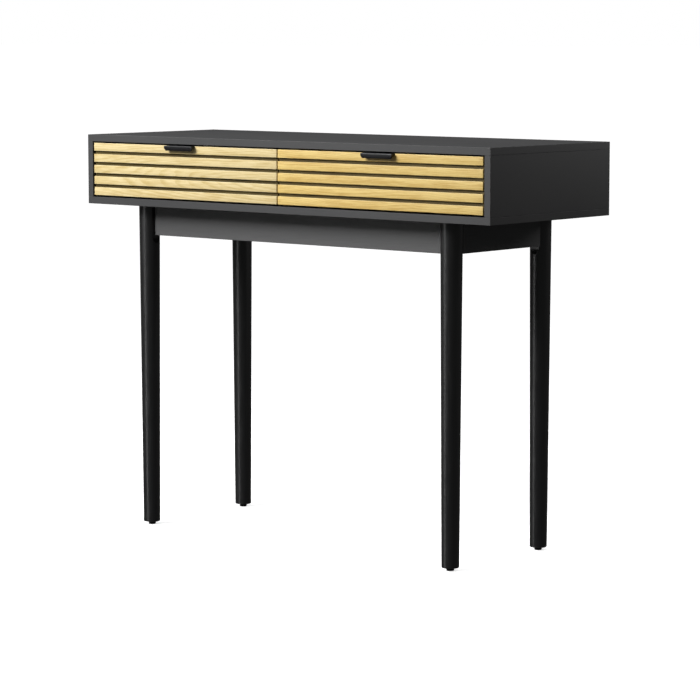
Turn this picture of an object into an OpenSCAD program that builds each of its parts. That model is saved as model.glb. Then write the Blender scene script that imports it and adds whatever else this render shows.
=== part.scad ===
// Writing desk with two drawers: a shallow black case with slatted oak drawer fronts, on an under-frame
// of four round tapered legs joined by rails. Sizes are in millimetres.
// X runs along the desk, Y from its front to its back and Z up. The origin lies on the floor, under the
// middle of the whole object.

/* [Case] */
// Length of the desk along X
case_w = 1100; // [1000:10:1200]
// Depth of the case from its front edge to its back edge
case_d = 400; // [396:2:440]
// Height of the desk top above the floor
desk_h = 850; // [740:10:900]
// Height of the case, top and bottom panels included
case_h = 150; // [146:2:164]
// Thickness of the case boards and of the rails
board_t = 15; // [15:0.5:16]
// Thickness of the back panel
back_t = 5; // [4:0.5:6]
// Distance from the back panel's rear face to the case's back edge
back_inset = 8; // [6:1:10]
// Width of the small bevel along every board edge
edge_bevel = 0.5; // [0.2:0.1:0.8]

/* [Drawer fronts] */
// Gap between a drawer front and the top panel
gap_top = 3; // [2.5:0.5:4]
// Gap between a drawer front and the bottom panel
gap_bottom = 4; // [3:0.5:5]
// Gap between a drawer front and the side panel next to it
gap_side = 3.5; // [3:0.5:5]
// Gap between the two drawer fronts
gap_middle = 3; // [2:0.5:4]
// Distance from the slats' faces back to the case's front edge
front_inset = 0.5; // [0.5:0.5:2]
// Number of slats on each drawer front
slat_count = 5; // [4:1:6]
// Height of the groove between two slats
groove_h = 7; // [5:0.5:8]
// Thickness of a slat, which is the depth of the grooves
slat_t = 5; // [4:0.5:6]
// Thickness of the board that the slats are glued to
front_board_t = 13; // [12:0.5:15]

/* [Pulls] */
// Width of a pull along the drawer
pull_w = 80; // [70:2:96]
// Distance that a pull stands out in front of the case
pull_out = 10; // [9:0.5:12]
// Drop of the pull's lip below the drawer front's top edge
pull_drop = 10.5; // [9:0.5:12]
// Thickness of the pull's tab, which lies in a rebate
pull_t = 2; // [1.6:0.2:2.4]
// Thickness of the pull's lip
lip_t = 2.6; // [2.2:0.2:3]

/* [Drawer boxes] */
// Height of a drawer box's sides
box_h = 85; // [76:1:88]
// Length of a drawer box behind its front
box_l = 350; // [340:2:350]
// Thickness of a drawer box's sides and back
box_t = 12; // [11.5:0.5:13]
// Thickness of a drawer box's bottom
box_bottom_t = 4; // [3:0.5:5]

/* [Runners] */
// Width that one pair of runner members takes up beside a drawer box
runner_w = 12.7; // [12.7:0.1:13]
// Height of the outer runner member
runner_h = 35; // [34:0.5:36]
// Thickness of the runner members' steel
runner_t = 1.2; // [1:0.1:1.4]
// Travel of a drawer
drawer_travel = 250; // [200:10:250]

/* [Legs and rails] */
// Diameter of a leg at its top
leg_top_d = 45; // [43:1:48]
// Diameter of a leg at its bottom
leg_bottom_d = 36; // [30:1:38]
// Distance between the left and the right legs' axes
leg_span_x = 830; // [780:10:860]
// Distance between the front and the rear legs' axes
leg_span_y = 296; // [280:2:310]
// Height of the rails under the case
rail_h = 65; // [60:1:75]
// Distance from a leg's axis to its flats, which the rails' ends meet
flat_at = 19.3; // [19:0.1:20]
// Distance from the leg axes out to the front rail's and the rear rail's outer faces
rail_out_y = 5; // [4:0.5:6]
// Distance from the leg axes out to the left rail's and the right rail's outer faces
rail_out_x = 14; // [12:0.5:14]

/* [Feet] */
// Height of a levelling foot's pad with the foot screwed fully in
foot_h = 6.2; // [5:0.2:9]
// Diameter of the pad at its top
foot_d = 17; // [14:0.5:20]
// Length that a levelling foot can be screwed out
foot_travel = 10; // [5:1:10]

/* [Hidden] */
$fn = 64;
eps = 0.01;
air = 0.3;           // clearance between parts that move past each other
slip = 0.05;         // radial clearance of a fastener in its hole

// Where the case lies
y_front = -case_d / 2 + pull_out / 2;
y_back = y_front + case_d;
z_case = desk_h - case_h;
z_floor = z_case + board_t;             // upper face of the bottom panel
z_ceiling = desk_h - board_t;           // lower face of the top panel
x_inner = case_w / 2 - board_t;         // inner face of a side panel
y_panel = y_back - back_inset - back_t; // front face of the back panel
groove_deep = 6;                        // depth of the grooves that hold the back panel

// Drawer fronts
front_w = x_inner - gap_side - gap_middle / 2;
front_x = (x_inner - gap_side + gap_middle / 2) / 2;
front_z = z_floor + gap_bottom;
front_h = z_ceiling - gap_top - front_z;
slat_pitch = (front_h + groove_h) / slat_count;
slat_h = slat_pitch - groove_h;
y_slat = y_front + front_inset;
y_board = y_slat + slat_t;
y_box = y_board + front_board_t;        // front end of a drawer box

// Drawer bays and boxes
bay_w = x_inner - board_t / 2;
bay_x = (x_inner + board_t / 2) / 2;
box_w = bay_w - 2 * runner_w;
box_z = z_floor + 7;
box_bottom_z = box_z + 10;              // lower face of a drawer's bottom
box_groove = 5;                         // depth of the grooves that hold a drawer's bottom
runner_z = box_z + box_h / 2;

// Runner section, measured from the member's web on the case towards the drawer
runner_l = box_l;
ball_d = 5;
ball_x = runner_w / 2 + 0.2;
slide_half_h = runner_h / 2 - runner_t - ball_d - 0.3;
ball_z = slide_half_h + ball_d / 2 + 0.15;
cage_t = 0.8;
cage_l = runner_l - drawer_travel - 4;
cage_y = y_box + drawer_travel / 2 + 2;
balls_per_row = 5;
ball_pitch = (cage_l - 16) / (balls_per_row - 1);

// Legs, rails and feet
leg_y = (y_front + y_back) / 2;
foot_z = foot_h + air;                  // lower end of a leg
z_rail = z_case - rail_h;
runout_r = 30;                          // radius of the cutter that ends a leg's flat
stud_d = 8;
insert_d = 12;
insert_l = 15;
stud_l = insert_l + foot_travel + 5;

// Fasteners
dowel_d = 8;
dowel_l = 30;
cam_d = 15;
cam_t = 12;
cam_set = 24;                           // distance from a board's edge to its cams' centres
cam_stem_d = 6;
short_screw = [3.5, 11, 6.4];           // thread diameter, length, head diameter
long_screw = [4, 40, 7.6];
bracket_t = 2;
bracket_h = 45;
bracket_flange = 32;
bracket_at = 42;                        // distance from a leg's axis to its bracket's plate
bolt_l = 78;
nut_across = 13;
nut_h = 6.5;

FRONT_CAM_Y = y_front + 40;
REAR_CAM_Y = y_panel - 30;
CAM_YS = [FRONT_CAM_Y, REAR_CAM_Y];
CASE_DOWEL_YS = [FRONT_CAM_Y + 32, REAR_CAM_Y - 32];
DOWEL_ZS = [z_rail + 15, z_case - 15];
RAIL_SCREW_XS = [-leg_span_x * 0.3, 0, leg_span_x * 0.3];
SLIDE_SCREW_YS = [30, box_l - 40];
SCREW_SLATS = [ceil(slat_count / 2), slat_count - 1]; // the slats that hide the front boards' screws
SIDES = [-1, 1];

function slat_bottom(i) = front_z + front_h - slat_h - (i - 1) * slat_pitch;
function side_name(s) = s < 0 ? "left" : "right";
function end_name(s) = s < 0 ? "front" : "rear";
function leg_place(sx, sy) = [sx * leg_span_x / 2, leg_y + sy * leg_span_y / 2, 0];

DRAWER_PIECES = ["front_board", "pull", "side_left", "side_right", "back", "bottom", "slides",
                 "long_screws", "short_screws"];

// ---------- shared shapes ----------

// A block with its low corner at the origin and a small bevel along every edge
module board(size, bevel = edge_bevel) {
    intersection() {
        linear_extrude(size.z) bevelled(size.x, size.y, bevel);
        translate([0, size.y, 0]) rotate([90, 0, 0]) linear_extrude(size.y) bevelled(size.x, size.z, bevel);
        rotate([90, 0, 90]) linear_extrude(size.x) bevelled(size.y, size.z, bevel);
    }
}

module bevelled(w, h, b) {
    polygon([[b, 0], [w - b, 0], [w, b], [w, h - b], [w - b, h], [b, h], [0, h - b], [0, b]]);
}

// A cylinder from point a along one row axis, given as a unit vector
module rod(a, axis, length, d) {
    turn = axis.x != 0 ? [0, 90 * axis.x, 0] : axis.y != 0 ? [-90 * axis.y, 0, 0] : [axis.z < 0 ? 180 : 0, 0, 0];
    translate(a) rotate(turn) cylinder(h = length, d = d);
}

// A countersunk screw with its head's face at the origin, pointing down; extra widens it into its own hole
module screw(kind, extra = 0) {
    head_h = (kind[2] - kind[0]) / 2;
    translate([0, 0, -kind[1] - extra]) cylinder(h = kind[1] + extra, d = kind[0] + 2 * extra, $fn = 24);
    translate([0, 0, -head_h]) cylinder(h = head_h, d1 = kind[0] + 2 * extra, d2 = kind[2] + 2 * extra, $fn = 24);
    if (extra > 0) cylinder(h = 0.2, d = kind[2] + 2 * extra, $fn = 24);
}

// The same screw with the cross recess in its head
module cross_screw(kind) {
    difference() {
        screw(kind);
        for (a = [0, 90])
            rotate(a) translate([-kind[2] * 0.28, -kind[2] * 0.06, -kind[2] * 0.2])
                cube([kind[2] * 0.56, kind[2] * 0.12, kind[2]]);
    }
}

// Puts its children, drawn pointing down -Z, so that they point along +X or -X
module along_x(s) {
    rotate([0, -90 * s, 0]) children();
}

// ---------- fastener places, shared by the fasteners and the parts that they go through ----------

// Dowels between the upright boards and the top and bottom panels
module case_dowels(extra = 0) {
    for (x = [-x_inner - board_t / 2, 0, x_inner + board_t / 2], y = CASE_DOWEL_YS, z = [z_floor, z_ceiling])
        translate([x, y, z]) translate([0, 0, z == z_floor ? -10 - extra : -20 - extra])
            cylinder(h = dowel_l + 2 * extra, d = dowel_d + 2 * extra, $fn = 32);
}

// Dowels between the rails' ends and the legs
module rail_dowels(extra = 0) {
    for (sx = SIDES, sy = SIDES, z = DOWEL_ZS) translate(leg_place(sx, sy)) {
        for (along = [[-sx, 0], [0, -sy]]) {
            off = along.x != 0 ? [0, sy * (rail_out_y - board_t / 2)] : [sx * (rail_out_x - board_t / 2), 0];
            start = [along.x, along.y] * (flat_at - dowel_l / 2 - extra) + off;
            rod([start.x, start.y, z], [along.x, along.y, 0], dowel_l + 2 * extra, dowel_d + 2 * extra);
        }
    }
}

// Each cam's place: the board's x, the side that the cam is let in from, its y and the panel that it pulls
CAMS = [for (b = [[-x_inner - board_t / 2, 1], [0, -1], [x_inner + board_t / 2, -1]], y = CAM_YS, up = SIDES)
            [b[0], b[1], y, up]];
function cam_z(up) = up > 0 ? z_ceiling - cam_set : z_floor + cam_set;

module cam_seats(extra = 0) {
    for (c = CAMS)
        rod([c[0] + c[1] * (board_t / 2 + extra), c[2], cam_z(c[3])], [-c[1], 0, 0],
            cam_t + 2 * extra, cam_d + 2 * extra);
}

module cam_stems(extra = 0) {
    for (c = CAMS)
        translate([c[0], c[2], c[3] > 0 ? cam_z(1) + 2 : z_floor - 10 - extra])
            cylinder(h = cam_set + 8 + extra, d = cam_stem_d + 2 * extra, $fn = 32);
}

// Screws down through the bottom panel into the rails and the legs' tops
module case_screw_places() {
    for (sx = SIDES, sy = SIDES) translate(leg_place(sx, sy) + [0, 0, z_floor]) children();
    for (x = RAIL_SCREW_XS, sy = SIDES)
        translate([x, leg_y + sy * (leg_span_y / 2 + rail_out_y - board_t / 2), z_floor]) children();
    for (sx = SIDES) translate([sx * (leg_span_x / 2 + rail_out_x - board_t / 2), leg_y, z_floor]) children();
}

// Runner screws, pointing away from the gap between a drawer box and its bay
module channel_screw_places(s) {
    for (e = SIDES, y = SLIDE_SCREW_YS)
        translate([s * bay_x + e * (bay_w / 2 - runner_t), y_box + y + (s > 0 ? 14 : 0), runner_z])
            along_x(e) children();
}

module slide_screw_places(s) {
    for (e = SIDES, y = SLIDE_SCREW_YS)
        translate([s * bay_x + e * (box_w / 2 + runner_t), y_box + y + 24, runner_z]) along_x(-e) children();
}

// Box screws: through the front board behind its slats, and through the sides into the back
module box_screw_places(s) {
    for (e = SIDES, i = SCREW_SLATS)
        translate([s * bay_x + e * (box_w / 2 - box_t / 2), y_board, slat_bottom(i) + slat_h / 2])
            rotate([90, 0, 0]) children();
    for (e = SIDES, z = [box_z + 22, box_z + box_h - 18])
        translate([s * bay_x + e * box_w / 2, y_box + box_l - box_t / 2, z]) along_x(-e) children();
}

module pull_screw_places(s) {
    for (e = SIDES)
        translate([s * bay_x + e * pull_w * 0.3, y_board + front_board_t / 2, front_z + front_h]) children();
}

// ---------- case ----------

module top_panel() {
    color("#2d2d2f") difference() {
        translate([-case_w / 2, y_front, z_ceiling]) board([case_w, case_d, board_t]);
        case_dowels(slip);
        cam_stems(slip);
        back_panel_space();
    }
}

module bottom_panel() {
    color("#2d2d2f") difference() {
        translate([-case_w / 2, y_front, z_case]) board([case_w, case_d, board_t]);
        case_dowels(slip);
        cam_stems(slip);
        back_panel_space();
        case_screw_places() screw(long_screw, slip);
    }
}

module side_panel(s) {
    color("#2d2d2f") difference() {
        translate([s < 0 ? -case_w / 2 : x_inner, y_front, z_floor])
            board([board_t, case_d, z_ceiling - z_floor]);
        case_dowels(slip);
        cam_stems(slip);
        cam_seats(slip);
        back_panel_space();
        channel_screw_places(s) screw(short_screw, slip);
    }
}

module centre_divider() {
    color("#2d2d2f") difference() {
        translate([-board_t / 2, y_box + 1.5, z_floor])
            board([board_t, y_panel - y_box - 1.5, z_ceiling - z_floor]);
        case_dowels(slip);
        cam_stems(slip);
        cam_seats(slip);
        for (s = SIDES) channel_screw_places(s) screw(short_screw, slip);
    }
}

module back_panel() {
    color("#262628") translate([-x_inner - groove_deep + air, y_panel, z_floor - groove_deep + air])
        board([2 * (x_inner + groove_deep - air), back_t, z_ceiling - z_floor + 2 * (groove_deep - air)]);
}

// The grooves that the back panel slides into
module back_panel_space() {
    translate([-x_inner - groove_deep, y_panel - slip, z_floor - groove_deep])
        cube([2 * (x_inner + groove_deep), back_t + 2 * slip, z_ceiling - z_floor + 2 * groove_deep]);
}

module dowels() {
    color("#d8b98a") {
        case_dowels();
        rail_dowels();
    }
}

module cam_bolts() {
    color("#b9babd") cam_stems();
}

// Round cam locks, each with a cross recess and a mouth that takes its bolt's head
module cam_locks() {
    color("#a7a8ab") difference() {
        cam_seats();
        cam_stems(0.6);
        for (c = CAMS) translate([c[0] + c[1] * board_t / 2, c[2], cam_z(c[3])]) {
            cube([4, 7, 1.6], center = true);
            cube([4, 1.6, 7], center = true);
        }
    }
}

// ---------- under-frame ----------

module long_rail(sy) {
    y_outer = leg_y + sy * (leg_span_y / 2 + rail_out_y);
    length = leg_span_x - 2 * flat_at;
    color("#1d1d1f") difference() {
        translate([-length / 2, min(y_outer, y_outer - sy * board_t), z_rail]) board([length, board_t, rail_h]);
        rail_dowels(slip);
        case_screw_places() screw(long_screw, slip);
        for (sx = SIDES) bracket_screw_places(sx, sy) screw(short_screw, slip);
    }
}

module short_rail(sx) {
    x_outer = sx * (leg_span_x / 2 + rail_out_x);
    length = leg_span_y - 2 * flat_at;
    color("#1d1d1f") difference() {
        translate([min(x_outer, x_outer - sx * board_t), leg_y - length / 2, z_rail])
            board([board_t, length, rail_h]);
        rail_dowels(slip);
        case_screw_places() screw(long_screw, slip);
        for (sy = SIDES) bracket_screw_places(sx, sy) screw(short_screw, slip);
    }
}

// A round tapered leg with a flat for each of its two rails, and the bores for its fasteners
module leg(sx, sy) {
    color("#161617") difference() {
        translate(leg_place(sx, sy)) difference() {
            union() {
                translate([0, 0, foot_z + 1])
                    cylinder(h = z_case - foot_z - 1, d1 = leg_bottom_d, d2 = leg_top_d, $fn = 96);
                translate([0, 0, foot_z]) cylinder(h = 1, d1 = leg_bottom_d - 2, d2 = leg_bottom_d, $fn = 96);
            }
            for (turn = [sx > 0 ? 180 : 0, sy > 0 ? -90 : 90]) rotate(turn) rail_flat();
            translate([0, 0, foot_z - eps]) cylinder(h = insert_l + slip, d = insert_d + 2 * slip);
            translate([0, 0, foot_z]) cylinder(h = stud_l + 4, d = stud_d + 1);
        }
        rail_dowels(slip);
        case_screw_places() screw(long_screw, slip);
        hanger_bolt(sx, sy, slip);
    }
}

// The cut for one flat, on the +X side of a leg's axis, ending in the cutter's round
module rail_flat() {
    translate([flat_at, -leg_top_d, z_rail - 4]) cube([leg_top_d, 2 * leg_top_d, rail_h + 10]);
    translate([flat_at + runout_r, leg_top_d, z_rail - 4]) rotate([90, 0, 0])
        cylinder(h = 2 * leg_top_d, r = runout_r, $fn = 96);
}

// Corner bracket outline: a plate across the corner between two rails, and a flange along each of them.
// It is drawn for the leg that has its rails on the +X and +Y sides.
function bracket_line() = let (
    yi = board_t - rail_out_y,
    xi = board_t - rail_out_x,
    reach = bracket_at * sqrt(2),
    a = [reach - yi, yi],
    b = [xi, reach - xi])
    [a + [bracket_flange, 0], a, b, b + [0, bracket_flange]];

module bracket_outline() {
    line = bracket_line();
    t = bracket_t;
    inner = [line[0] + [0, t], line[1] + [t * tan(22.5), t], line[2] + [t, t * tan(22.5)], line[3] + [t, 0]];
    polygon([line[0], line[1], line[2], line[3], inner[3], inner[2], inner[1], inner[0]]);
}

// Places a corner drawn towards +X and +Y so that it faces the desk's middle from its own leg
module in_corner(sx, sy) {
    translate(leg_place(sx, sy) + [0, 0, z_rail + rail_h / 2])
        mirror([sx > 0 ? 1 : 0, 0, 0]) mirror([0, sy > 0 ? 1 : 0, 0]) children();
}

module bracket_screw_places(sx, sy) {
    line = bracket_line();
    in_corner(sx, sy) for (z = [-12, 12]) {
        translate([line[0].x - bracket_flange * 0.4, line[0].y + bracket_t, z]) rotate([-90, 0, 0]) children();
        translate([line[3].x + bracket_t, line[3].y - bracket_flange * 0.4, z]) along_x(-1) children();
    }
}

module corner_brackets() {
    color("#b4b5b8") for (sx = SIDES, sy = SIDES) difference() {
        in_corner(sx, sy) translate([0, 0, -bracket_h / 2]) linear_extrude(bracket_h) bracket_outline();
        hanger_bolt(sx, sy, 0.3);
        bracket_screw_places(sx, sy) screw(short_screw, slip);
    }
}

// A bolt from inside the leg out through its bracket, square to the bracket's plate
module hanger_bolt(sx, sy, extra = 0) {
    in_corner(sx, sy) rotate([0, 0, 45]) rotate([0, 90, 0])
        translate([0, 0, -14 - extra]) cylinder(h = bolt_l + extra, d = stud_d + 2 * extra, $fn = 32);
}

module hanger_bolts() {
    color("#b9babd") for (sx = SIDES, sy = SIDES) hanger_bolt(sx, sy);
}

module hanger_nuts() {
    color("#b9babd") for (sx = SIDES, sy = SIDES)
        in_corner(sx, sy) rotate([0, 0, 45]) rotate([0, 90, 0]) translate([0, 0, bracket_at + bracket_t])
            difference() {
                union() {
                    cylinder(h = 1.6, d = 16);
                    translate([0, 0, 1.6]) cylinder(h = nut_h, d = nut_across / cos(30), $fn = 6);
                }
                translate([0, 0, -1]) cylinder(h = nut_h + 4, d = stud_d + 2 * slip);
            }
}

module case_screws() {
    color("#8c8d90") case_screw_places() cross_screw(long_screw);
}

module short_screws() {
    color("#8c8d90") {
        for (sx = SIDES, sy = SIDES) bracket_screw_places(sx, sy) cross_screw(short_screw);
        for (s = SIDES) channel_screw_places(s) cross_screw(short_screw);
    }
}

// ---------- levelling feet ----------

module leg_inserts() {
    color("#b9babd") for (sx = SIDES, sy = SIDES)
        translate(leg_place(sx, sy) + [0, 0, foot_z]) difference() {
            cylinder(h = insert_l, d = insert_d);
            translate([0, 0, -1]) cylinder(h = insert_l + 2, d = stud_d + 2 * slip);
        }
}

// A threaded stud with a round plastic pad moulded on its lower end
module foot(sx, sy) {
    color("#121213") translate(leg_place(sx, sy)) {
        rotate_extrude() polygon([[0, 0], [foot_d / 2 - 2.2, 0], [foot_d / 2 - 1, 1], [foot_d / 2, foot_h - 1],
                                  [foot_d / 2, foot_h - 0.4], [foot_d / 2 - 0.4, foot_h], [stud_d / 2, foot_h],
                                  [stud_d / 2, foot_h + stud_l - 1], [stud_d / 2 - 1, foot_h + stud_l],
                                  [0, foot_h + stud_l]]);
    }
}

// ---------- runners ----------

// Outer member: a channel on the case side, with lips that keep the balls in
module channel_outline() {
    h = runner_h / 2;
    t = runner_t;
    deep = runner_w - t - 0.6;
    lip = 1.5;
    polygon([[0, -h], [deep, -h], [deep, -h + t + lip], [deep - t, -h + t + lip], [deep - t, -h + t], [t, -h + t],
             [t, h - t], [deep - t, h - t], [deep - t, h - t - lip], [deep, h - t - lip], [deep, h], [0, h]]);
}

// Inner member: a narrower channel on the drawer box, open towards the case
module slide_outline() {
    h = slide_half_h;
    t = runner_t;
    near = t + cage_t + 1.6;
    lip = 0.5;
    polygon([[runner_w, -h], [runner_w, h], [near + t, h], [near + t, h + lip], [near, h + lip], [near, h - t],
             [runner_w - t, h - t], [runner_w - t, -h + t], [near, -h + t], [near, -h - lip],
             [near + t, -h - lip], [near + t, -h]]);
}

// Cage: a thin folded strip that runs between the members and spaces the balls
module cage_outline() {
    x = runner_t + 0.6;
    far = ball_x + 2.2;
    h = ball_z + cage_t / 2;
    polygon([[x, -h], [far, -h], [far, -h + cage_t], [x + cage_t, -h + cage_t], [x + cage_t, h - cage_t],
             [far, h - cage_t], [far, h], [x, h]]);
}

// Extrudes a runner section towards the back on both sides of bay s
module in_bay(s, y, length) {
    for (e = SIDES)
        translate([s * bay_x + e * bay_w / 2, y + length, runner_z]) mirror([e > 0 ? 1 : 0, 0, 0])
            rotate([90, 0, 0]) linear_extrude(length) children();
}

module runner_channels(s) {
    color("#b4b5b8") difference() {
        in_bay(s, y_box, runner_l) channel_outline();
        channel_screw_places(s) screw(short_screw, slip);
    }
}

module slides(s) {
    color("#b4b5b8") difference() {
        in_bay(s, y_box, runner_l) slide_outline();
        slide_screw_places(s) screw(short_screw, slip);
    }
}

module balls(s, extra = 0) {
    for (e = SIDES, z = [-ball_z, ball_z], i = [0:balls_per_row - 1])
        translate([s * bay_x + e * (bay_w / 2 - ball_x), cage_y + 8 + i * ball_pitch, runner_z + z])
            sphere(d = ball_d + 2 * extra, $fn = 24);
}

module ball_cages(s) {
    color("#c4c5c8") {
        difference() {
            in_bay(s, cage_y, cage_l) cage_outline();
            balls(s, 0.1);
        }
        balls(s);
    }
}

// ---------- drawers ----------

// Space for the pull's tab, let into the drawer front's top edge
module pull_rebate(s) {
    translate([s * bay_x - pull_w / 2 - slip, y_slat - 1, front_z + front_h - pull_t])
        cube([pull_w + 2 * slip, y_box - y_slat + 2, pull_t + 1]);
}

module front_board(s) {
    color("#4b3a1c") difference() {
        translate([s * front_x - front_w / 2, y_board, front_z]) board([front_w, front_board_t, front_h]);
        pull_rebate(s);
        pull_screw_places(s) screw(short_screw, slip);
        box_screw_places(s) screw(long_screw, slip);
        box_bottom_space(s);
    }
}

module slat(s, i) {
    color("#e2c684") difference() {
        translate([s * front_x - front_w / 2, y_slat, slat_bottom(i)])
            board([front_w, slat_t, slat_h]);
        pull_rebate(s);
    }
}

// A bent tab: it lies on the front's top edge, runs out over it and turns down into a bevelled lip
module pull(s) {
    y_lip = y_front - pull_out;
    top = front_z + front_h;
    color("#141415") difference() {
        intersection() {
            translate([s * bay_x - pull_w / 2, 0, 0]) rotate([90, 0, 90]) linear_extrude(pull_w)
                polygon([[y_box, top], [y_lip + 1.6, top], [y_lip + 0.5, top - 0.5], [y_lip, top - 1.6],
                         [y_lip, top - pull_drop + 3.6], [y_lip + lip_t - 0.8, top - pull_drop],
                         [y_lip + lip_t, top - pull_drop], [y_lip + lip_t, top - pull_t - 1],
                         [y_lip + lip_t + 1, top - pull_t], [y_box, top - pull_t]]);
            translate([s * bay_x - pull_w / 2, y_box + 1, top - pull_drop]) rotate([90, 0, 0])
                linear_extrude(y_box + 2 - y_lip)
                    polygon([[3, 0], [pull_w - 3, 0], [pull_w, 3], [pull_w, pull_drop], [0, pull_drop], [0, 3]]);
        }
        pull_screw_places(s) screw(short_screw, slip);
    }
}

module box_side(s, e) {
    color("#d9c39a") difference() {
        translate([s * bay_x + (e < 0 ? -box_w / 2 : box_w / 2 - box_t), y_box, box_z])
            board([box_t, box_l, box_h]);
        box_bottom_space(s);
        box_screw_places(s) screw(long_screw, slip);
        slide_screw_places(s) screw(short_screw, slip);
    }
}

module box_back(s) {
    inner_w = box_w - 2 * box_t;
    low = box_bottom_z + box_bottom_t;
    color("#d9c39a") difference() {
        translate([s * bay_x - inner_w / 2, y_box + box_l - box_t, low])
            board([inner_w, box_t, box_z + box_h - low]);
        box_screw_places(s) screw(long_screw, slip);
    }
}

module box_bottom(s) {
    w = box_w - 2 * (box_t - box_groove + air);
    color("#cdb68c") translate([s * bay_x - w / 2, y_box - box_groove + air, box_bottom_z])
        board([w, box_l + box_groove - air, box_bottom_t], 0.2);
}

// The grooves in the sides and the front board that hold a drawer's bottom
module box_bottom_space(s) {
    w = box_w - 2 * (box_t - box_groove);
    translate([s * bay_x - w / 2, y_box - box_groove, box_bottom_z - slip])
        cube([w, box_l + box_groove + 1, box_bottom_t + 2 * slip]);
}

module box_screws(s) {
    color("#8c8d90") box_screw_places(s) cross_screw(long_screw);
}

module drawer_short_screws(s) {
    color("#8c8d90") {
        pull_screw_places(s) cross_screw(short_screw);
        slide_screw_places(s) cross_screw(short_screw);
    }
}

// ---------- the nodes ----------

top_panel();
bottom_panel();
side_panel(-1);  // left_side_panel
side_panel(1);  // right_side_panel
centre_divider();
back_panel();
cam_bolts();
cam_locks();
dowels();
long_rail(-1);  // front_rail
long_rail(1);  // rear_rail
short_rail(-1);  // left_rail
short_rail(1);  // right_rail
leg_inserts();
corner_brackets();
hanger_bolts();
hanger_nuts();
case_screws();
short_screws();

for (sx = SIDES, sy = SIDES) {
    place = str(end_name(sy), "_", side_name(sx));
    leg(sx, sy);
    foot(sx, sy);
}

for (s = SIDES) {
    side = side_name(s);
    runner_channels(s);
    ball_cages(s);
    front_board(s);
    pull(s);
    box_side(s, -1);
    box_side(s, 1);
    box_back(s);
    box_bottom(s);
    slides(s);
    box_screws(s);
    drawer_short_screws(s);
    for (i = [1:slat_count])
        slat(s, i);
}
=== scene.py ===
from math import radians

import bpy
import numpy as np
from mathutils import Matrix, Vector


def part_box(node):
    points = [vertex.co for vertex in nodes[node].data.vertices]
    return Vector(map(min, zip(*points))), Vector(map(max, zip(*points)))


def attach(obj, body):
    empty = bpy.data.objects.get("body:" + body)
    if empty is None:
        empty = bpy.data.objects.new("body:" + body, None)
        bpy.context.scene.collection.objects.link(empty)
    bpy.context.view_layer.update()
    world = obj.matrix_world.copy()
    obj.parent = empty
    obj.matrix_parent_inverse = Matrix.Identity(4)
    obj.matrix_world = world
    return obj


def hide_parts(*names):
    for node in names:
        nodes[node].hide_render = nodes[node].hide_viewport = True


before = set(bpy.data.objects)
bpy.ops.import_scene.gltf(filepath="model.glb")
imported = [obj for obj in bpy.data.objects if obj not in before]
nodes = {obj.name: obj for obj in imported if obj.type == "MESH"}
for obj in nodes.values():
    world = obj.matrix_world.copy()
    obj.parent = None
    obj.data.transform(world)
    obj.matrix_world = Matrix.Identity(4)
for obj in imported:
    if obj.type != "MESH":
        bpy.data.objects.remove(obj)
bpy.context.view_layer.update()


# ---- Case boards ------------------------------------------------------------------------------
# Top, bottom, two sides and a divider of particle board, faced and edged in one charcoal laminate
# with a fine dry grain. They are dowelled and pulled together by cams, so no screw shows outside.

MM = 0.001
CHARCOAL = (0.021, 0.021, 0.022)
CHARCOAL_LIGHT = (0.028, 0.028, 0.029)
RUBBED_EDGE = (0.075, 0.074, 0.073)
RUB_WIDTH = 1.4 * MM


class Value:
    """One number or colour at each point of a surface: a socket, whose operators add Math nodes."""

    def __init__(self, look, socket):
        self.look = look
        self.socket = socket

    def out(self, name):
        return Value(self.look, self.socket.node.outputs[name])

    def __add__(self, other):
        return self.look.math("ADD", self, other)

    def __sub__(self, other):
        return self.look.math("SUBTRACT", self, other)

    def __rsub__(self, other):
        return self.look.math("SUBTRACT", other, self)

    def __mul__(self, other):
        return self.look.math("MULTIPLY", self, other)

    def __truediv__(self, other):
        return self.look.math("DIVIDE", self, other)

    def __pow__(self, other):
        return self.look.math("POWER", self, other)

    def __abs__(self):
        return self.look.math("ABSOLUTE", self)

    __radd__ = __add__
    __rmul__ = __mul__

    def least(self, other):
        return self.look.math("MINIMUM", self, other)

    def most(self, other):
        return self.look.math("MAXIMUM", self, other)

    def between(self, low, high):
        """0 below low, 1 above high, and a smooth step from one to the other."""
        return self.look.add("ShaderNodeMapRange", {"interpolation_type": "SMOOTHSTEP"},
                             {"Value": self, "From Min": low, "From Max": high})


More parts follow.
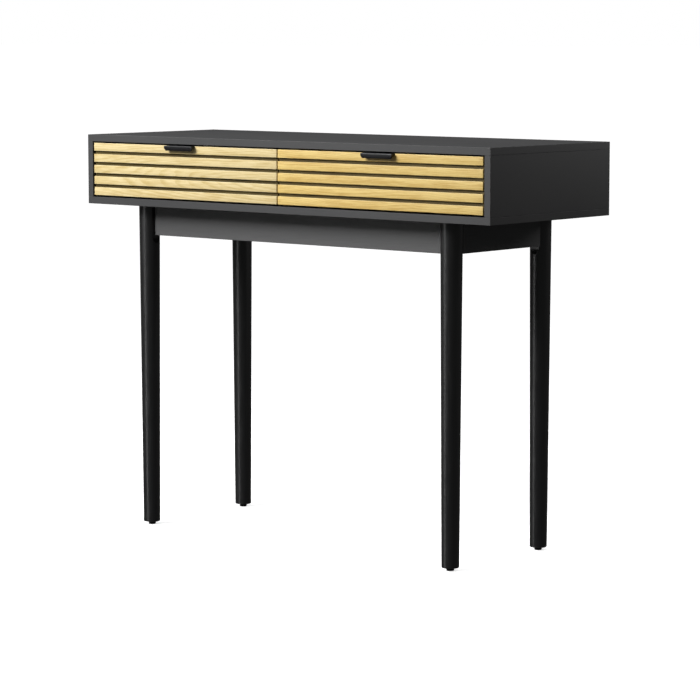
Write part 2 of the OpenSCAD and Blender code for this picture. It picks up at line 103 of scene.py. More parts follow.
class Look:
    """One material while it is made. Constant sockets of its shader are given by their names."""

    def __init__(self, name, **constants):
        self.material = bpy.data.materials.new(name)
        self.material.use_nodes = True
        self.tree = self.material.node_tree
        self.shader = next(n for n in self.tree.nodes if n.type == "BSDF_PRINCIPLED")
        for socket, value in constants.items():
            self.shader.inputs[socket.replace("_", " ")].default_value = value

    def add(self, kind, settings, sockets, out=0):
        """Adds a node: its settings first, then the values or links of its sockets."""
        node = self.tree.nodes.new(kind)
        for name, value in settings.items():
            setattr(node, name, value)
        for key, value in sockets.items():
            self.put(node.inputs[key], value)
        return Value(self, node.outputs[out])

    def put(self, socket, value):
        if isinstance(value, Value):
            self.tree.links.new(value.socket, socket)
        elif socket.type == "RGBA":
            socket.default_value = (*value, 1)
        else:
            socket.default_value = value

    def math(self, operation, *operands):
        return self.add("ShaderNodeMath", {"operation": operation}, dict(enumerate(operands)))

    def point(self, stretch=(1, 1, 1)):
        """The point in metres, times a stretch along each axis."""
        place = self.add("ShaderNodeTexCoord", {}, {}, "Object")
        return self.add("ShaderNodeMapping", {}, {"Vector": place, "Scale": stretch})

    def noise(self, stretch, detail=2.0, roughness=0.5, distortion=0.0):
        """Noise from 0 to 1, with about as many bumps to the metre along each axis as its stretch."""
        sockets = {"Vector": self.point(stretch), "Scale": 1.0, "Detail": detail, "Roughness": roughness,
                   "Distortion": distortion}
        return self.add("ShaderNodeTexNoise", {}, sockets)

    def mix(self, share, first, second):
        """The first colour where the share is 0, the second where it is 1."""
        return self.add("ShaderNodeMix", {"data_type": "RGBA"}, {0: share, 6: first, 7: second}, 2)

    def finish(self, colour, roughness, relief_mm=None, metallic=None):
        """Joins the colour, the roughness and the relief, a height in millimetres, to the shader."""
        self.put(self.shader.inputs["Base Color"], colour)
        self.put(self.shader.inputs["Roughness"], roughness)
        if metallic is not None:
            self.put(self.shader.inputs["Metallic"], metallic)
        if relief_mm is not None:
            bump = self.add("ShaderNodeBump", {}, {"Height": relief_mm, "Distance": MM, "Strength": 1.0})
            self.put(self.shader.inputs["Normal"], bump)
        return self.material


def distance_to_edges(look, low, high):
    """Distance in metres from a point on a box's faces to the nearest of the box's edges.

    Of the distances to the nearest face along X, Y and Z, the least is 0 on a face, and the middle
    one of the three is the distance to the nearest edge.
    """
    place = look.add("ShaderNodeSeparateXYZ", {}, {"Vector": look.point()})
    a, b, c = [(high[i] - low[i]) / 2 - abs(place.out(i) - (low[i] + high[i]) / 2) for i in range(3)]
    return a.least(b).most(a.most(b).least(c))


def coat_nodes(material, *names):
    """Gives the CAD nodes named one finish in place of their plain colours."""
    for name in names:
        for place in nodes[name].material_slots:
            place.material = material


def charcoal_laminate(low, high):
    look = Look("charcoal_laminate", Specular_IOR_Level=0.55)
    cloud = look.noise((3.5, 9, 9), detail=3)
    fleck = look.noise((220, 900, 900), detail=2, roughness=0.6)
    rub = look.noise((35, 35, 35), detail=4, roughness=0.65).between(0.42, 0.72)
    worn = (1 - distance_to_edges(look, low, high).between(0, RUB_WIDTH)) * (0.25 + 0.6 * rub)
    colour = look.mix(cloud.between(0.3, 0.7) * 0.55 + fleck * 0.45, CHARCOAL, CHARCOAL_LIGHT)
    roughness = 0.50 + 0.08 * cloud - 0.12 * worn + 0.05 * fleck
    return look.finish(look.mix(worn, colour, RUBBED_EDGE), roughness, 0.012 * fleck)


case_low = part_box("bottom_panel")[0]
case_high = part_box("top_panel")[1]
coat_nodes(charcoal_laminate(case_low, case_high), "top_panel", "bottom_panel", "left_side_panel",
           "right_side_panel", "centre_divider")


# ---- Back panel -------------------------------------------------------------------------------
# A thin hardboard sheet, painted black on both faces, slid into grooves of the top, bottom and
# side panels. The pressed fibres show through the paint as a faint felt.

HARDBOARD_PAINT = (0.022, 0.021, 0.020)
HARDBOARD_PAINT_PALE = (0.040, 0.038, 0.036)


def black_hardboard():
    look = Look("black_hardboard", Specular_IOR_Level=0.3)
    fibre = look.noise((420, 420, 420), detail=5, roughness=0.7, distortion=1.5)
    cloud = look.noise((6, 6, 6), detail=3)
    colour = look.mix(fibre * 0.6 + cloud * 0.4, HARDBOARD_PAINT, HARDBOARD_PAINT_PALE)
    return look.finish(colour, 0.62 + 0.12 * fibre, 0.03 * fibre)


coat_nodes(black_hardboard(), "back_panel")


# ---- Dowels, cams and screws ------------------------------------------------------------------
# Fluted beech dowels place the boards and rails, and cams in the upright boards draw the steel
# bolts of the top and bottom panels tight. Cross-head screws hold the rails, brackets and runners.

STAINED_SHARE = 0.62
BEECH = (0.60, 0.40, 0.22)
BEECH_STREAK = (0.46, 0.28, 0.14)
BEECH_FLECK = (0.30, 0.17, 0.08)


def zinc_plate(name, tint, roughness, grain):
    """Plated metal: a bright passivated skin with cloudy stains and fine drawing lines."""
    look = Look(name, Metallic=1.0)
    stain = look.noise((40, 40, 40), detail=5, roughness=0.65)
    lines = look.noise(grain, detail=3, roughness=0.6)
    dull = tuple(STAINED_SHARE * part for part in tint)
    colour = look.mix(stain.between(0.45, 0.75), tint, dull)
    return look.finish(colour, roughness + 0.22 * (stain - 0.5) + 0.10 * (lines - 0.5), 0.006 * lines)


def turned_beech():
    look = Look("turned_beech")
    streak = look.noise((300, 300, 300), detail=4, roughness=0.6)
    fleck = look.noise((900, 900, 900), detail=1).between(0.62, 0.70)
    colour = look.mix(streak, BEECH, BEECH_STREAK)
    colour = look.mix(0.5 * fleck, colour, BEECH_FLECK)
    return look.finish(colour, 0.55 + 0.1 * streak, 0.03 * streak)


coat_nodes(turned_beech(), "dowels")
cast_zinc = zinc_plate("cast_zinc", tint=(0.50, 0.51, 0.53), roughness=0.46, grain=(500, 500, 500))
bolt_zinc = zinc_plate("bolt_zinc", tint=(0.66, 0.67, 0.70), roughness=0.30, grain=(90, 90, 900))
screw_zinc = zinc_plate("screw_zinc", tint=(0.42, 0.42, 0.44), roughness=0.34, grain=(700, 700, 700))
coat_nodes(cast_zinc, "cam_locks")
coat_nodes(bolt_zinc, "cam_bolts")
coat_nodes(screw_zinc, "case_screws", "short_screws")


# ---- Rails ------------------------------------------------------------------------------------
# Four boards of solid wood stand on edge right under the case and run from leg to leg. They are
# sprayed satin black, so the open grain still shows as fine lines along each rail.

RAIL_PAINT = (0.030, 0.030, 0.031)
RAIL_PAINT_PALE = (0.042, 0.042, 0.043)
RAIL_ROUGHNESS = 0.46


def painted_wood(name, along, paint, pale_paint, roughness):
    """Satin paint over open grain that runs along the axis given, 0 for X to 2 for Z."""
    look = Look(name, Specular_IOR_Level=1.0)
    fine = [850.0] * 3
    fine[along] = 16.0
    broad = [70.0] * 3
    broad[along] = 2.5
    pore = look.noise(fine, detail=2, roughness=0.6).between(0.50, 0.68)
    band = look.noise(broad, detail=3, distortion=0.4)
    peel = look.noise((260, 260, 260), detail=1)
    colour = look.mix(0.5 * band + 0.25 * pore, paint, pale_paint)
    return look.finish(colour, roughness + 0.10 * band + 0.12 * pore, 0.012 * peel - 0.022 * pore)


long_paint = painted_wood("black_paint_long_rails", 0, RAIL_PAINT, RAIL_PAINT_PALE, RAIL_ROUGHNESS)
short_paint = painted_wood("black_paint_side_rails", 1, RAIL_PAINT, RAIL_PAINT_PALE, RAIL_ROUGHNESS)
coat_nodes(long_paint, "front_rail", "rear_rail")
coat_nodes(short_paint, "left_rail", "right_rail")


# ---- Legs -------------------------------------------------------------------------------------
# Four turned legs of the same black wood taper down to the floor. At the top each has two flats
# for its rails, which run out into the round where the cutter left the wood.

LEG_TOP_R = 22.5 * MM
LEG_FOOT_R = 18 * MM
FOOT_BEVEL = 1 * MM
FLAT_AT = 19.3 * MM
FLAT_OVERCUT = 4 * MM
CUTTER_R = 30 * MM
FLAT_EASING = 0.35 * MM
FACING_LEAST = 0.05
INSERT_SEAT_R = 6.05 * MM
INSERT_DEPTH = 15.05 * MM
STUD_BORE_R = 4.5 * MM
STUD_BORE_DEPTH = 34 * MM
LEG_COLUMNS = 160
LEG_ROWS = 90
LEG_PAINT = (0.0045, 0.0045, 0.0048)
LEG_PAINT_PALE = (0.009, 0.009, 0.0095)
LEG_ROUGHNESS = 0.26
END_NAMES = ("front", "rear")
SIDES = ("left", "right")


def skin(rings):
    """Vertices and faces of a closed skin over rings x points x 3, with a flat face at each end.

    Each ring is joined to the next by one quad a point. Seen against the way that the rings go, a
    ring runs counterclockwise, which turns every face outward.
    """
    count, around = rings.shape[:2]
    step = np.arange(around)
    start = np.arange(count - 1)[:, None] * around
    here, there = start + step, start + (step + 1) % around
    quads = np.stack([here, there, there + around, here + around], axis=-1).reshape(-1, 4)
    ends = [step[::-1], step + (count - 1) * around]
    return rings.reshape(-1, 3), quads.tolist() + [end.tolist() for end in ends]


def make_piece(name, skins, body, stands_for, material, sharp=35):
    """One object of one or more skins that rides on a body and stands for a CAD node."""
    corners, faces = [], []
    for skin_corners, skin_faces in skins:
        shift = sum(len(c) for c in corners)
        corners.append(skin_corners)
        faces += [[index + shift for index in face] for face in skin_faces]
    mesh = bpy.data.meshes.new(name)
    mesh.from_pydata(np.concatenate(corners).tolist(), [], faces)
    mesh.shade_smooth()
    mesh.set_sharp_from_angle(angle=radians(sharp))
    mesh.materials.append(material)
    piece = bpy.data.objects.new(name, mesh)
    bpy.context.scene.collection.objects.link(piece)
    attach(piece, body)
    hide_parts(stands_for)


def leg_radius(angle, height, foot_z, top_z, flat_from, flat_angles):
    """Radius of a leg at an angle and a height.

    The round part grows evenly from foot to top. A flat lies at a fixed distance from the axis, so
    at an angle a from its middle its radius is that distance over cos a. Below the rail the
    distance grows along the cutter's circle. The least of them all wins, and a soft minimum, half
    of the sum less the root of the difference squared and the easing squared, rounds the corners.
    """
    radius = LEG_FOOT_R + (LEG_TOP_R - LEG_FOOT_R) * (height - foot_z) / (top_z - foot_z)
    below = np.clip(flat_from - height, 0, CUTTER_R)
    reach = FLAT_AT + CUTTER_R - np.sqrt(CUTTER_R ** 2 - below ** 2)
    for middle in flat_angles:
        facing = np.maximum(np.cos(angle - middle), FACING_LEAST)
        flat = reach / facing
        radius = (radius + flat - np.sqrt((radius - flat) ** 2 + FLAT_EASING ** 2)) / 2
    return radius


def leg_skin(low, high, rail_z, sx, sy):
    """The leg about its axis: down the stud's bore, out under the foot, and up the outside."""
    centre = (low + high) / 2
    angle = np.linspace(0, 2 * np.pi, LEG_COLUMNS, endpoint=False)
    bore = np.array([(STUD_BORE_R, STUD_BORE_DEPTH), (STUD_BORE_R, INSERT_DEPTH),
                     (INSERT_SEAT_R, INSERT_DEPTH), (INSERT_SEAT_R, 0), (LEG_FOOT_R - FOOT_BEVEL, 0)])
    bore_r, bore_z = bore[:, :1], low.z + bore[:, 1:]
    inside = np.stack([bore_r * np.cos(angle), bore_r * np.sin(angle), bore_z + 0 * angle], axis=-1)
    plain = np.linspace(low.z + FOOT_BEVEL, rail_z - 2 * FLAT_OVERCUT - CUTTER_R, LEG_ROWS // 3)
    shaped = np.linspace(rail_z - FLAT_OVERCUT - CUTTER_R, rail_z - FLAT_OVERCUT, LEG_ROWS // 2)
    height = np.concatenate([plain, shaped, np.linspace(rail_z, high.z, LEG_ROWS // 6)])[:, None]
    flats = (np.pi if sx > 0 else 0, -np.pi / 2 if sy > 0 else np.pi / 2)
    radius = leg_radius(angle[None, :], height, low.z + FOOT_BEVEL, high.z, rail_z - FLAT_OVERCUT, flats)
    outside = np.stack([radius * np.cos(angle), radius * np.sin(angle), height + 0 * radius], axis=-1)
    rings = np.concatenate([inside, outside])
    return skin(rings + np.array([centre.x, centre.y, 0]))


rail_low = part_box("front_rail")[0]
black_leg = painted_wood("black_paint_legs", 2, LEG_PAINT, LEG_PAINT_PALE, LEG_ROUGHNESS)
for sy, end in zip((-1, 1), END_NAMES):
    for sx, side in zip((-1, 1), SIDES):
        node = f"leg_{end}_{side}"
        outline = leg_skin(*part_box(node), rail_low.z, sx, sy)
        make_piece(f"turned_{node}", [outline], "case", node, black_leg, sharp=30)


# ---- Inserts and levelling feet ---------------------------------------------------------------
# A threaded steel insert is let into the lower end of each leg. The foot is a black nylon pad
# moulded on a threaded stud, and it is turned by hand to level the desk.

STUD_R = 4 * MM
THREAD_PITCH = 1.25 * MM
THREAD_DEPTH = 0.7 * MM
PAD_COLUMNS = 40
ROWS_A_TURN = 8
NYLON = (0.011, 0.011, 0.012)
NYLON_PALE = (0.020, 0.020, 0.021)
STUD_STEEL = (0.36, 0.36, 0.38)
STEEL_EDGE = 0.02 * MM
PAD_H = 6.2 * MM
PAD_TAPER = 0.7 * MM
PAD_LEAN = 10
PAD_RIM_R = 1.5 * MM
PAD_TOP_R = 0.4 * MM


def thread_rings(start, length, radius, columns):
    """Rings of a threaded rod along +Z from the height start.

    The radius dips by the thread's depth with the zigzag of height / pitch - angle / turn, so that
    the crest climbs one pitch a turn, and the last pitch at the far end tapers to a point.
    """
    rows = int(length / THREAD_PITCH * ROWS_A_TURN)
    height = np.linspace(0, length, rows)[:, None]
    angle = np.linspace(0, 2 * np.pi, columns, endpoint=False)[None, :]
    climb = height / THREAD_PITCH - angle / (2 * np.pi)
    dip = THREAD_DEPTH * np.abs(2 * (climb % 1) - 1)
    taper = np.clip((height - length) / THREAD_PITCH + 1, 0, 1) * THREAD_DEPTH
    reach = radius - np.maximum(dip, taper)
    return np.stack([reach * np.cos(angle), reach * np.sin(angle), start + height + 0 * angle], axis=-1)


def arc(centre_r, centre_z, radius, first, last, steps=6):
    """Points (r, z) of an arc about a centre, from the first angle to the last, in degrees."""
    turn = np.radians(np.linspace(first, last, steps))
    return np.stack([centre_r + radius * np.cos(turn), centre_z + radius * np.sin(turn)], axis=-1)


def foot_skin(low, high):
    """The pad is its outline (r, z) turned about the axis, and the stud stands on it.

    From below, the outline is a round rim, a side that leans out, and a small rounding at the top.
    """
    centre = (low + high) / 2
    pad_r = (high.x - low.x) / 2
    outline = np.concatenate([
        arc(pad_r - PAD_TAPER - PAD_RIM_R, PAD_RIM_R, PAD_RIM_R, -90, -PAD_LEAN),
        arc(pad_r - PAD_TOP_R, PAD_H - PAD_TOP_R, PAD_TOP_R, 0, 90),
    ])
    angle = np.linspace(0, 2 * np.pi, PAD_COLUMNS, endpoint=False)
    pad = np.stack([outline[:, :1] * np.cos(angle), outline[:, :1] * np.sin(angle),
                    outline[:, 1:] + 0 * angle], axis=-1)
    stud = thread_rings(PAD_H, high.z - PAD_H, STUD_R, PAD_COLUMNS)
    rings = np.concatenate([pad, stud]) + np.array([centre.x, centre.y, low.z])
    return skin(rings)


def nylon_and_stud():
    """Moulded black nylon up to the pad's top, and dull plated steel above it."""
    look = Look("foot_nylon", Specular_IOR_Level=0.4)
    place = look.add("ShaderNodeSeparateXYZ", {}, {"Vector": look.point()})
    steel = place.out(2).between(PAD_H - STEEL_EDGE, PAD_H + STEEL_EDGE)
    mottle = look.noise((700, 700, 700), detail=3, roughness=0.6)
    nylon = look.mix(mottle, NYLON, NYLON_PALE)
    colour = look.mix(steel, nylon, STUD_STEEL)
    return look.finish(colour, 0.52 - 0.14 * steel + 0.1 * mottle, 0.02 * mottle, metallic=steel)


insert_zinc = zinc_plate("insert_zinc", tint=(0.62, 0.60, 0.52), roughness=0.36, grain=(300, 300, 300))
coat_nodes(insert_zinc, "leg_inserts")
foot_look = nylon_and_stud()
for end in END_NAMES:
    for side in SIDES:
        node = f"foot_{end}_{side}"
        pad_and_stud = foot_skin(*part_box(node))
        make_piece(f"levelling_{node}", [pad_and_stud], node, node, foot_look)


# ---- Corner brackets, bolts and nuts ----------------------------------------------------------
# A folded plate of zinc-plated steel spans each corner under the case. A threaded bolt from the
# leg comes through it, and a washer-faced nut draws the leg into the corner between its rails.

BOLT_LENGTH = 78 * MM
BOLT_INSIDE = 14 * MM
BOLT_COLUMNS = 32

bracket_zinc = zinc_plate("bracket_zinc", tint=(0.60, 0.61, 0.63), roughness=0.38, grain=(40, 40, 400))
nut_zinc = zinc_plate("nut_zinc", tint=(0.64, 0.65, 0.68), roughness=0.32, grain=(500, 500, 500))
coat_nodes(bracket_zinc, "corner_brackets")
coat_nodes(nut_zinc, "hanger_nuts")


def corner_bolt(sx, sy):
    """A threaded rod turned from +Z to the level diagonal from a leg's axis to the desk's middle."""
    low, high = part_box(f"leg_{END_NAMES[sy > 0]}_{SIDES[sx > 0]}")
    along = np.array([-sx, -sy, 0]) / np.sqrt(2)
    across = np.array([along[1], -along[0], 0])
    up = np.cross(along, across)
    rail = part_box("front_rail")
    axis_point = np.array([(low.x + high.x) / 2, (low.y + high.y) / 2, (rail[0].z + rail[1].z) / 2])
    rings = thread_rings(-BOLT_INSIDE, BOLT_LENGTH, STUD_R, BOLT_COLUMNS)
    return skin(axis_point + rings @ np.array([across, up, along]))


corner_bolts = [corner_bolt(sx, sy) for sx in (-1, 1) for sy in (-1, 1)]
make_piece("threaded_hanger_bolts", corner_bolts, "case", "hanger_bolts", bolt_zinc)


# ---- Ball runners -----------------------------------------------------------------------------
# Cold-rolled steel channels, zinc plated: the outer ones are screwed to the case, the inner ones
# to the drawer boxes, and a folded cage of steel balls rolls between each pair.

runner_zinc = zinc_plate("runner_zinc", tint=(0.58, 0.60, 0.63), roughness=0.33, grain=(900, 6, 900))
cage_zinc = zinc_plate("cage_and_balls", tint=(0.70, 0.71, 0.73), roughness=0.24, grain=(250, 250, 250))
for side in SIDES:
    coat_nodes(runner_zinc, f"{side}_runner_channels", f"{side}_drawer_slides")
    coat_nodes(cage_zinc, f"{side}_ball_cages")
    coat_nodes(screw_zinc, f"{side}_drawer_long_screws", f"{side}_drawer_short_screws")


# ---- Drawer boxes -----------------------------------------------------------------------------
# The sides and back are birch plywood with a clear coat, and the bottom a thinner sheet of it in
# grooves. The plies show as pale and brown stripes on the edges, and the faces have long grain.

BIRCH = (0.62, 0.45, 0.27)
BIRCH_STREAK = (0.50, 0.33, 0.17)
CROSS_PLY = (0.36, 0.22, 0.11)
GLUE_LINE = (0.20, 0.11, 0.05)


def birch_plywood(name, low, high, thickness_axis, along, plies):
    """Plies by the place across the sheet: odd ones pale, even ones brown, with a thin glue line."""
    look = Look(name, Specular_IOR_Level=0.4)
    grain_stretch = [140.0] * 3
    grain_stretch[along] = 4.0
    pore_stretch = [1500.0] * 3
    pore_stretch[along] = 60.0
    thickness = high[thickness_axis] - low[thickness_axis]
    place = look.add("ShaderNodeSeparateXYZ", {}, {"Vector": look.point()})
    layer = (place.out(thickness_axis) - low[thickness_axis]) * (plies / thickness)
    wave = look.math("PINGPONG", layer, 1.0)
    cross = look.math("PINGPONG", look.math("FLOOR", layer), 1.0)
    glue = 1 - wave.least(1 - wave).between(0.03, 0.10)
    streak = look.noise(grain_stretch, detail=4, roughness=0.6, distortion=0.3)
    pore = look.noise(pore_stretch, detail=1).between(0.60, 0.72)
    colour = look.mix(streak.between(0.35, 0.70), BIRCH, BIRCH_STREAK)
    colour = look.mix(0.75 * cross, colour, CROSS_PLY)
    colour = look.mix(0.5 * glue + 0.18 * pore, colour, GLUE_LINE)
    return look.finish(colour, 0.44 + 0.12 * streak + 0.1 * cross, -0.03 * pore - 0.05 * cross)


# for each piece, the axis across the sheet, the axis along the grain and the number of plies
BOX_PIECES = {"side_left": (0, 1, 9), "side_right": (0, 1, 9), "back": (1, 0, 9), "bottom": (2, 0, 3)}
for side in SIDES:
    for part, (thickness_axis, along, plies) in BOX_PIECES.items():
        node = f"{side}_drawer_{part}"
        coat_nodes(birch_plywood(f"ply_{node}", *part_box(node), thickness_axis, along, plies), node)


# ---- Front boards -----------------------------------------------------------------------------
# The slats are glued on a board stained dark brown, whose face is the floor of the grooves. It
# also closes the drawer box at the front.

STAIN = (0.098, 0.074, 0.024)
STAIN_DARK = (0.056, 0.041, 0.011)
STAIN_PORE = (0.02, 0.013, 0.005)


def stained_board():
    look = Look("stained_board", Specular_IOR_Level=0.25)
    streak = look.noise((6, 260, 260), detail=4, roughness=0.6, distortion=0.3)
    pore = look.noise((40, 1500, 1500), detail=1).between(0.55, 0.7)
    colour = look.mix(streak.between(0.3, 0.7), STAIN, STAIN_DARK)
    colour = look.mix(0.4 * pore, colour, STAIN_PORE)
    return look.finish(colour, 0.40 + 0.15 * streak, -0.03 * pore)


coat_nodes(stained_board(), *[f"{side}_drawer_front_board" for side in SIDES])


# ---- Oak slats --------------------------------------------------------------------------------
# Five slats of clear-lacquered oak on each front, cut from one board so that the figure runs on
# from slat to slat. Their arrises are eased, and the top slat is let down for the pull's tab.

SLAT_COUNT = 5
SLAT_EASING = 0.7 * MM
CORNER_STEPS = 5
SLAT_RINGS = 28
REBATE_WALL = 0.05 * MM
# The left front's oak is paler than the right's. This is partly the wood's own tone and partly a painted
# sheen standing in for the light's glare on the left drawer.
OAK_PALED_FOR_PAINTED_SHEEN = (0.58, 0.475, 0.25)
OAK_LATE_PALED_FOR_PAINTED_SHEEN = (0.45, 0.335, 0.135)
GOLDEN_OAK = (0.61, 0.45, 0.155)
GOLDEN_OAK_LATE = (0.47, 0.305, 0.078)
OAK_PORE = (0.28, 0.17, 0.05)
OAK_FLECK = (0.74, 0.60, 0.30)
PITH_SWAY = 20 * MM
RING_SWAY = 24 * MM
RING_RIPPLE = 2.5 * MM
TAB_T = 2 * MM
TAB_PLAY = 0.05 * MM


def eased_rectangle(half_y, half_z, easing):
    """A rectangle (y, z) with quarter circles for corners, counterclockwise from its +Y side."""
    quarter_start = np.arange(4)[:, None] * 90
    angle = np.radians(quarter_start + np.linspace(0, 90, CORNER_STEPS))
    middle = np.radians(quarter_start + 45)
    y = np.sign(np.cos(middle)) * (half_y - easing) + easing * np.cos(angle)
    z = np.sign(np.sin(middle)) * (half_z - easing) + easing * np.sin(angle)
    return np.stack([y.ravel(), z.ravel()], axis=-1)


def eased_ends(start, stop, easing):
    """Places along X and how far the outline is drawn in there, on a quarter circle at each end."""
    turn = np.radians(np.linspace(90, 0, CORNER_STEPS))
    inset = easing * (1 - np.cos(turn))
    reach = easing * (1 - np.sin(turn))
    middle = np.linspace(start + easing, stop - easing, SLAT_RINGS)[1:-1]
    places = np.concatenate([start + reach, middle, (stop - reach)[::-1]])
    return places, np.concatenate([inset, 0 * middle, inset[::-1]])


def slat_skin(low, high, rebate=None):
    """The eased rectangle carried along X, drawn in at both ends.

    Over the rebate, given as (start, stop, depth) along X, the upper half of the outline is lower.
    """
    half = (high - low) / 2
    centre = (high + low) / 2
    outline = eased_rectangle(half.y, half.z, SLAT_EASING)
    x, inset = eased_ends(low.x, high.x, SLAT_EASING)
    drop = 0 * x
    if rebate:
        start, stop, depth = rebate
        walls = np.array([start - REBATE_WALL, start, stop, stop + REBATE_WALL])
        order = np.argsort(np.concatenate([x, walls]), kind="stable")
        x = np.concatenate([x, walls])[order]
        inset = np.concatenate([inset, 0 * walls])[order]
        drop = depth * ((x >= start) & (x <= stop))
    y = outline[None, :, 0] * (1 - inset / half.y)[:, None]
    z = outline[None, :, 1] * (1 - inset / half.z)[:, None] - drop[:, None] * (outline[None, :, 1] > 0)
    rings = np.stack([x[:, None] + 0 * y, centre.y + y, centre.z + z], axis=-1)
    return skin(rings)


def oak(name, early, late, pith_z, pith_depth, lean, ring_width):
    """Growth rings about a pith line behind the face.

    The pith runs along X at height pith_z, and its depth behind the face changes by lean for each
    metre. A ring's number is the distance from it over the ring's width, so a face near the pith
    shows arches and a face far from it straight lines. Slow noise sways both, and fine noise drawn
    out along X gives the grain between the rings.
    """
    look = Look(name, Specular_IOR_Level=0.5)
    place = look.add("ShaderNodeSeparateXYZ", {}, {"Vector": look.point()})
    sway = look.noise((3.0, 9, 14), detail=2) - 0.5
    ripple = look.noise((14, 60, 60), detail=2) - 0.5
    depth = pith_depth + lean * place.out(0)
    height = place.out(2) - pith_z + PITH_SWAY * sway
    radius = (height * height + depth * depth) ** 0.5 + RING_SWAY * sway + RING_RIPPLE * ripple
    ring = look.math("FRACT", radius / ring_width)
    late_share = ring.between(0.35, 0.92) * (1 - ring.between(0.94, 1.0))
    tone = look.noise((2.2, 30, 45), detail=3)
    pore = look.noise((55, 2200, 2200), detail=2, roughness=0.6).between(0.53, 0.70)
    early_pore = pore * (1 - ring.between(0.05, 0.45)) * 0.75 + pore * 0.25
    grain = look.noise((22, 260, 260), detail=2, roughness=0.6).between(0.36, 0.64) - 0.5
    fleck = look.noise((260, 60, 700), detail=1).between(0.63, 0.72)
    colour = look.mix(0.55 * late_share + 0.5 * tone.between(0.3, 0.7) + 0.6 * grain, early, late)
    colour = look.mix(0.40 * early_pore, colour, OAK_PORE)
    colour = look.mix(0.22 * fleck, colour, OAK_FLECK)
    roughness = 0.40 + 0.10 * early_pore + 0.06 * tone
    return look.finish(colour, roughness, 0.02 * late_share - 0.05 * early_pore)


middle_slat_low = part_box("left_drawer_slat_3")[0].z
# The left drawer's oak look carries the painted sheen in its paler colours.
slat_looks = {
    "left": oak("oak_arched_with_painted_sheen", OAK_PALED_FOR_PAINTED_SHEEN, OAK_LATE_PALED_FOR_PAINTED_SHEEN, pith_z=middle_slat_low - 8 * MM,
                pith_depth=10 * MM, lean=-0.080, ring_width=4.5 * MM),
    "right": oak("oak_straight", GOLDEN_OAK, GOLDEN_OAK_LATE, pith_z=520 * MM, pith_depth=90 * MM,
                 lean=0.010, ring_width=3.6 * MM),
}
for side in SIDES:
    pull_low, pull_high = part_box(f"{side}_drawer_pull")
    for number in range(1, SLAT_COUNT + 1):
        node = f"{side}_drawer_slat_{number}"
        rebate = (pull_low.x - TAB_PLAY, pull_high.x + TAB_PLAY, TAB_T) if number == 1 else None
        slat = slat_skin(*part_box(node), rebate)
        make_piece(f"eased_{node}", [slat], f"{side}_drawer", node, slat_looks[side])


# ---- Pulls ------------------------------------------------------------------------------------
# A steel tab lies in a rebate on the drawer's top edge and is held by two screws. It runs out over
# the slats and is bent down into a lip with a bevelled lower edge, all powder coated black.

LIP_T = 2.6 * MM
BEND_OUT_R = 1.8 * MM
BEND_IN_R = 0.9 * MM
LIP_BEVEL = 1.7 * MM
LIP_BEVEL_H = 3.4 * MM
LIP_CORNER = 3 * MM
LIP_EDGE_R = 0.35 * MM
SCREW_STAND = 0.04 * MM
PULL_RINGS = 10
POWDER_BLACK = (0.006, 0.006, 0.007)
POWDER_RUBBED = (0.012, 0.012, 0.013)


def bent_tab(low, high):
    """Outline (y, z) of the bent tab, counterclockwise: back along the top, down, and out below."""
    top = high.z - SCREW_STAND
    under = high.z - TAB_T
    lip_in = low.y + LIP_T
    return np.concatenate([
        [(high.y, under), (high.y, top)],
        arc(low.y + BEND_OUT_R, top - BEND_OUT_R, BEND_OUT_R, 90, 180, 8),
        [(low.y, low.z + LIP_BEVEL_H)],
        arc(low.y + LIP_BEVEL + LIP_EDGE_R, low.z + LIP_EDGE_R, LIP_EDGE_R, 205, 270, 4),
        arc(lip_in - LIP_EDGE_R, low.z + LIP_EDGE_R, LIP_EDGE_R, 270, 360, 4),
        arc(lip_in + BEND_IN_R, under - BEND_IN_R, BEND_IN_R, 180, 90, 6),
    ])


def pull_skin(low, high):
    """The outline carried along X; near both ends the lip's lower edge rises to cut its corners."""
    outline = bent_tab(low, high)
    ends = np.array([0, 0.3, 1, 2, 3]) * LIP_CORNER / 3
    middle = np.linspace(low.x + LIP_CORNER, high.x - LIP_CORNER, PULL_RINGS)[1:-1]
    x = np.concatenate([low.x + ends, middle, (high.x - ends)[::-1]])
    from_end = np.minimum(x - low.x, high.x - x)
    rise = np.clip(LIP_CORNER - from_end, 0, None)
    hinge = high.z - TAB_T - BEND_IN_R
    share = np.clip((hinge - outline[:, 1]) / (hinge - low.z), 0, 1)
    y = outline[None, :, 0] + 0 * x[:, None]
    z = outline[None, :, 1] + rise[:, None] * share[None, :]
    return skin(np.stack([x[:, None] + 0 * y, y, z], axis=-1))


def powder_coat():
    look = Look("black_powder_coat", Specular_IOR_Level=0.3)
    peel = look.noise((1400, 1400, 1400), detail=2, roughness=0.6)
    rub = look.noise((120, 120, 120), detail=4, roughness=0.7).between(0.45, 0.75)
    colour = look.mix(0.6 * rub, POWDER_BLACK, POWDER_RUBBED)
    return look.finish(colour, 0.40 - 0.08 * rub + 0.06 * peel, 0.03 * peel)


pull_look = powder_coat()
for side in SIDES:
    node = f"{side}_drawer_pull"
    pull = pull_skin(*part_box(node))
    make_piece(f"bent_{node}", [pull], f"{side}_drawer", node, pull_look, sharp=40)


# ---- Floor, light and camera ------------------------------------------------------------------
# A plain pale floor to the horizon, a soft box high at the front left, a low tall strip for the
# legs' narrow highlights, a weak light from the right rear, a wide top light and a dim surround.
# The camera is the long lens of a product shot, just above the top.

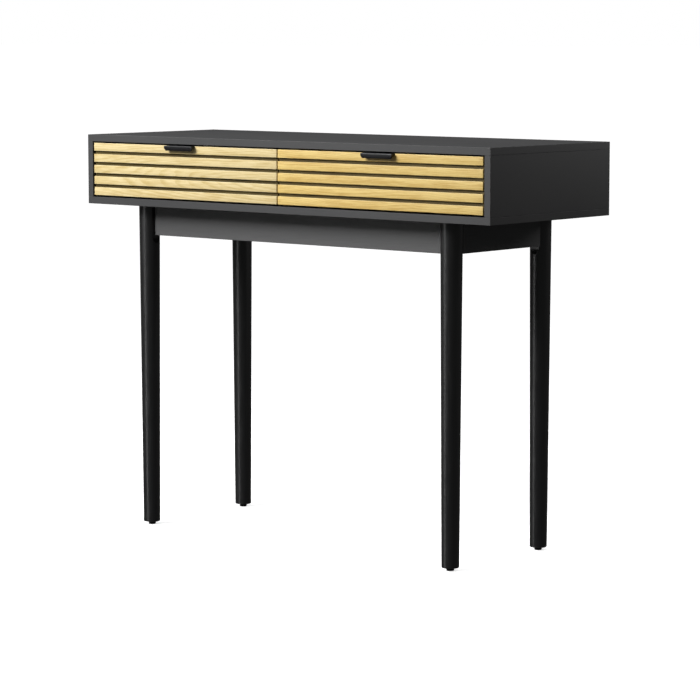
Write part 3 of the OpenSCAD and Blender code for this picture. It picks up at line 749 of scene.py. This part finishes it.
FLOOR_HALF = 150.0
FLOOR_COLOUR = (0.86, 0.86, 0.86)
FLOOR_GLOW = 0.70
LIGHT_AIM = (0.0, -0.20, 0.70)
KEY_PLACE = (-1.6, -2.6, 2.75)
KEY_POWER = 248
KEY_SIZE = 1.9
STRIP_PLACE = (-0.95, -1.9, 0.10)
STRIP_POWER = 2.6
STRIP_WIDTH = 0.16
STRIP_HEIGHT = 1.8
RIM_PLACE = (1.0, 0.9, 1.15)
RIM_POWER = 2.6
RIM_SIZE = 0.5
TOP_STRENGTH = 1.15
TOP_SPREAD = 100
SURROUND = 0.06
WHITE = (1.0, 1.0, 1.0, 1.0)
LENS_LENGTH = 143.02
SENSOR_WIDTH = 36
FAR_CLIP = 500
CAMERA_PLACE = (3.7964, -4.4617, 1.0723)
CAMERA_DIP = 6.535
CAMERA_TURN = 40.157

floor_mesh = bpy.data.meshes.new("studio_floor")
corners = [(sx * FLOOR_HALF, sy * FLOOR_HALF, 0) for sx, sy in ((-1, -1), (1, -1), (1, 1), (-1, 1))]
floor_mesh.from_pydata(corners, [], [(0, 1, 2, 3)])
floor = bpy.data.objects.new("studio_floor", floor_mesh)
floor_look = Look("studio_floor_paint", Specular_IOR_Level=0.1, Emission_Color=WHITE,
                  Emission_Strength=FLOOR_GLOW)
floor_mesh.materials.append(floor_look.finish(FLOOR_COLOUR, 0.9))
bpy.context.scene.collection.objects.link(floor)
floor.visible_glossy = False
floor.visible_diffuse = False
floor.visible_shadow = False


def soft_box(name, place, power, width, height):
    """An oval panel of light that faces the desk."""
    lamp = bpy.data.lights.new(name, "AREA")
    lamp.shape = "ELLIPSE"
    lamp.energy = power
    lamp.size = width
    lamp.size_y = height
    panel = bpy.data.objects.new(name, lamp)
    panel.location = place
    panel.rotation_euler = (Vector(LIGHT_AIM) - Vector(place)).to_track_quat("-Z", "Y").to_euler()
    panel.visible_camera = False
    bpy.context.scene.collection.objects.link(panel)


soft_box("key_light", KEY_PLACE, KEY_POWER, KEY_SIZE, KEY_SIZE)
soft_box("strip_light", STRIP_PLACE, STRIP_POWER, STRIP_WIDTH, STRIP_HEIGHT)
soft_box("rim_light", RIM_PLACE, RIM_POWER, RIM_SIZE, RIM_SIZE)
top_lamp = bpy.data.lights.new("top_light", "SUN")
top_lamp.energy = TOP_STRENGTH
top_lamp.angle = radians(TOP_SPREAD)
bpy.context.scene.collection.objects.link(bpy.data.objects.new("top_light", top_lamp))

world = bpy.data.worlds.new("studio")
bpy.context.scene.world = world
world.use_nodes = True
sky = world.node_tree
surround = sky.nodes["Background"]
surround.inputs["Color"].default_value = WHITE
surround.inputs["Strength"].default_value = SURROUND
backdrop = sky.nodes.new("ShaderNodeBackground")
backdrop.inputs["Color"].default_value = WHITE
seen = sky.nodes.new("ShaderNodeLightPath")
either = sky.nodes.new("ShaderNodeMixShader")
sky.links.new(seen.outputs["Is Camera Ray"], either.inputs[0])
sky.links.new(surround.outputs[0], either.inputs[1])
sky.links.new(backdrop.outputs[0], either.inputs[2])
sky.links.new(either.outputs[0], sky.nodes["World Output"].inputs["Surface"])

lens = bpy.data.cameras.new("camera")
lens.lens = LENS_LENGTH
lens.sensor_width = SENSOR_WIDTH
lens.clip_end = FAR_CLIP
camera = bpy.data.objects.new("camera", lens)
camera.location = CAMERA_PLACE
camera.rotation_euler = (radians(90 - CAMERA_DIP), 0, radians(CAMERA_TURN))
bpy.context.scene.collection.objects.link(camera)
bpy.context.scene.camera = camera
bpy.context.scene.view_settings.view_transform = "Standard"


# ---- Plain numbers, and the end ---------------------------------------------------------------
# plain() turns a box, given as its low and high corner in metres, into lists of plain numbers.


def plain(box):
    return [[float(part) for part in corner] for corner in box]


bpy.context.view_layer.update()
